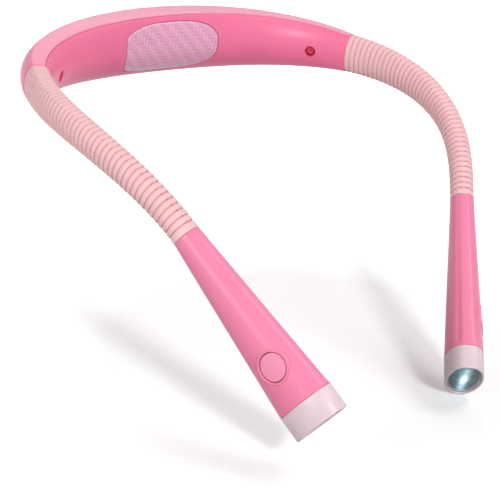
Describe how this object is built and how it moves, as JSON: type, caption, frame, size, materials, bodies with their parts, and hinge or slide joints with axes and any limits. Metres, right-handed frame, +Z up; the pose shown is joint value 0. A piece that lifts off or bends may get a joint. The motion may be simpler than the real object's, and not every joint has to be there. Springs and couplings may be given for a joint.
{
  "type": "neck reading light",
  "caption": "U-shaped battery reading light worn round the neck, with two bendable ribbed arms, each ending in a tapered lamp with a push button.",
  "frame": {"origin": "middle of the pad's outer face, where the housing rests on the back of the neck", "axes": "+Z up as worn, -Y forwards past the wearer's throat, +X towards the wearer's left"},
  "size_m": [0.1848, 0.2101, 0.1038],
  "materials": {
    "housing": "satin pink moulded plastic",
    "sleeve": "soft pale pink silicone",
    "bezel": "satin mauve-grey plastic",
    "pad": "soft translucent mauve-pink pad with a fine woven texture",
    "button": "matt pink-mauve plastic",
    "lens": "clear window",
    "reflector": "bright reflector",
    "steel": "plain steel",
    "led_base": "white-masked aluminium board",
    "board": "green circuit board",
    "cell": "wrapped pouch cell",
    "led": "yellow phosphor",
    "cable": "white cable sheath",
    "red_lead": "red insulation",
    "black_lead": "black insulation",
    "plastic": "plain grey plastic"
  },
  "bodies": {
    "neck": {"neck_outer_shell": "housing", "neck_inner_cover": "housing", "neck_pad": "pad", "cover_screw_left": "steel", "cover_screw_right": "steel", "battery_cell": "cell", "charging_board": "board", "charging_socket": "steel", "battery_red_lead": "red_lead", "battery_black_lead": "black_lead", "arm_plug_left": "plastic", "sleeve_left_1": "sleeve", "gooseneck_core_left_1": "steel", "lamp_cable_left": "cable", "arm_plug_right": "plastic", "sleeve_right_1": "sleeve", "gooseneck_core_right_1": "steel", "lamp_cable_right": "cable"},
    "arm_left_1": {"sleeve_left_2": "sleeve", "gooseneck_core_left_2": "steel"},
    "arm_left_2": {"sleeve_left_3": "sleeve", "gooseneck_core_left_3": "steel"},
    "arm_left_3": {"sleeve_left_4": "sleeve", "gooseneck_core_left_4": "steel"},
    "lamp_left": {"sleeve_left_5": "sleeve", "gooseneck_core_left_5": "steel", "core_clamp_left": "plastic", "lamp_housing_left": "housing", "bezel_left": "bezel", "lens_left": "lens", "reflector_left": "reflector", "led_board_left": "led_base", "led_left": "led", "led_lead_left": "red_lead", "control_board_left": "board", "tactile_switch_left": "steel"},
    "button_left": {"button_cap_left": "button"},
    "arm_right_1": {"sleeve_right_2": "sleeve", "gooseneck_core_right_2": "steel"},
    "arm_right_2": {"sleeve_right_3": "sleeve", "gooseneck_core_right_3": "steel"},
    "arm_right_3": {"sleeve_right_4": "sleeve", "gooseneck_core_right_4": "steel"},
    "lamp_right": {"sleeve_right_5": "sleeve", "gooseneck_core_right_5": "steel", "core_clamp_right": "plastic", "lamp_housing_right": "housing", "bezel_right": "bezel", "lens_right": "lens", "reflector_right": "reflector", "led_board_right": "led_base", "led_right": "led", "led_lead_right": "red_lead", "control_board_right": "board", "tactile_switch_right": "steel"},
    "button_right": {"button_cap_right": "button"}
  },
  "joints": [
    {"name": "lift_left_1", "type": "hinge", "parent": "neck", "child": "arm_left_1", "pos_m": [-0.08294, -0.03501, -0.00181], "axis": [-0.9534, 0.2903, -0.082], "range_deg": [-35, 40], "deforming": ["sleeve_left_1", "lamp_cable_left"]},
    {"name": "sweep_left_1", "type": "hinge", "parent": "arm_left_1", "child": "arm_left_2", "pos_m": [-0.08737, -0.06178, -0.00323], "axis": [-0.1927, -0.0832, 0.9777], "range_deg": [-35, 20], "deforming": ["sleeve_left_2"]},
    {"name": "lift_left_2", "type": "hinge", "parent": "arm_left_2", "child": "arm_left_3", "pos_m": [-0.08655, -0.08608, -0.00702], "axis": [-0.9785, -0.0738, -0.1925], "range_deg": [-35, 40], "deforming": ["sleeve_left_3"]},
    {"name": "sweep_left_2", "type": "hinge", "parent": "arm_left_3", "child": "lamp_left", "pos_m": [-0.08174, -0.11103, -0.01586], "axis": [0.0071, -0.4559, 0.89], "range_deg": [-35, 20], "deforming": ["sleeve_left_4", "sleeve_left_5"]},
    {"name": "press_left", "type": "slide", "parent": "lamp_left", "child": "button_left", "axis": [0.9504, 0.3108, 0.0119], "range_m": [0, 0.0005], "stiffness_N_per_m": 2000, "springref_m": -0.0003},
    {"name": "lift_right_1", "type": "hinge", "parent": "neck", "child": "arm_right_1", "pos_m": [0.08326, -0.03483, -0.00207], "axis": [-0.9536, -0.289, -0.0841], "range_deg": [-35, 40], "deforming": ["sleeve_right_1", "lamp_cable_right"]},
    {"name": "sweep_right_1", "type": "hinge", "parent": "arm_right_1", "child": "arm_right_2", "pos_m": [0.08725, -0.06138, -0.00572], "axis": [-0.1915, -0.2034, 0.9602], "range_deg": [-20, 35], "deforming": ["sleeve_right_2"]},
    {"name": "lift_right_2", "type": "hinge", "parent": "arm_right_2", "child": "arm_right_3", "pos_m": [0.08305, -0.08462, -0.01279], "axis": [-0.9087, 0.3851, -0.1609], "range_deg": [-35, 40], "deforming": ["sleeve_right_3"]},
    {"name": "sweep_right_2", "type": "hinge", "parent": "arm_right_3", "child": "lamp_right", "pos_m": [0.07194, -0.10625, -0.02471], "axis": [-0.3547, -0.3823, 0.8533], "range_deg": [-20, 35], "deforming": ["sleeve_right_4", "sleeve_right_5"]},
    {"name": "press_right", "type": "slide", "parent": "lamp_right", "child": "button_right", "axis": [-0.7948, 0.606, -0.0336], "range_m": [0, 0.0005], "stiffness_N_per_m": 2000, "springref_m": -0.0003}
  ]
}
